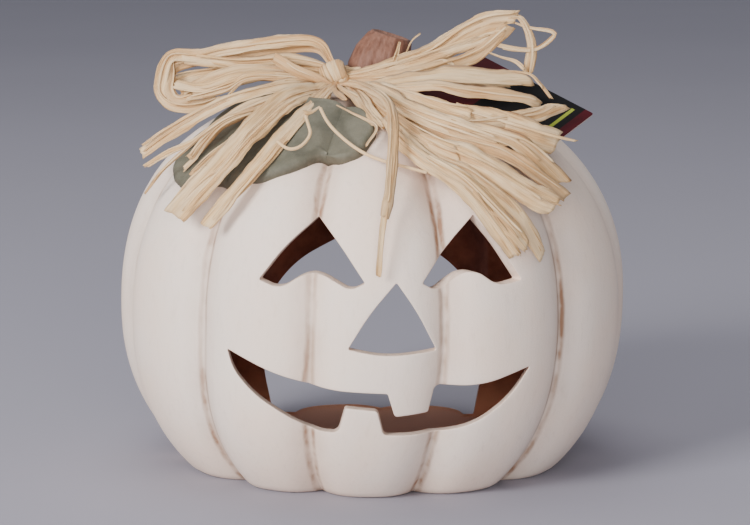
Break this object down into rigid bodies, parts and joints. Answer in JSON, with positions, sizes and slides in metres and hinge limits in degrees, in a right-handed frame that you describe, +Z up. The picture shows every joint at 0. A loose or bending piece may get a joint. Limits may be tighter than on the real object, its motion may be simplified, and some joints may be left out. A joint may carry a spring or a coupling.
{
  "type": "ceramic pumpkin figure",
  "caption": "Hollow ceramic jack-o'-lantern figure with a cut face, open back, sculpted leaf, leaning stem, raffia bow and hang tag.",
  "frame": {"origin": "middle of the flat base, on the surface that the figure stands on", "axes": "+Z up, -Y is the front with the cut face, +X is the viewer's right"},
  "size_m": [0.253, 0.254, 0.2241],
  "materials": {
    "cream_bisque": "matte",
    "sage_bisque": "matte",
    "brown_bisque": "matte",
    "raffia": "satin",
    "tag_card": "satin"
  },
  "bodies": {
    "root": {"pumpkin_shell": "cream_bisque", "leaf": "sage_bisque", "stem": "brown_bisque", "stem_band": "raffia", "bow_knot": "raffia", "left_loop": "raffia", "left_tail_back": "raffia", "left_tail_upper": "raffia", "left_tail_short": "raffia", "left_tail_wide": "raffia", "left_tail_front": "raffia", "right_loop": "raffia", "right_loop_inner": "raffia", "right_tail_upper": "raffia", "right_tail_curl": "raffia", "right_tail_wide": "raffia", "right_tail_long": "raffia", "right_tail_low": "raffia", "centre_tail": "raffia", "front_tendril": "raffia", "hook_tendril": "raffia", "tag_tie": "raffia"},
    "tag": {"tag_card": "tag_card"}
  },
  "joints": [
    {"name": "tag_swing", "type": "hinge", "parent": "root", "child": "tag", "pos_m": [0.0387, -0.0256, 0.195], "axis": [0.082, -0.502, 0.861], "range_deg": [-5, 10]}
  ]
}
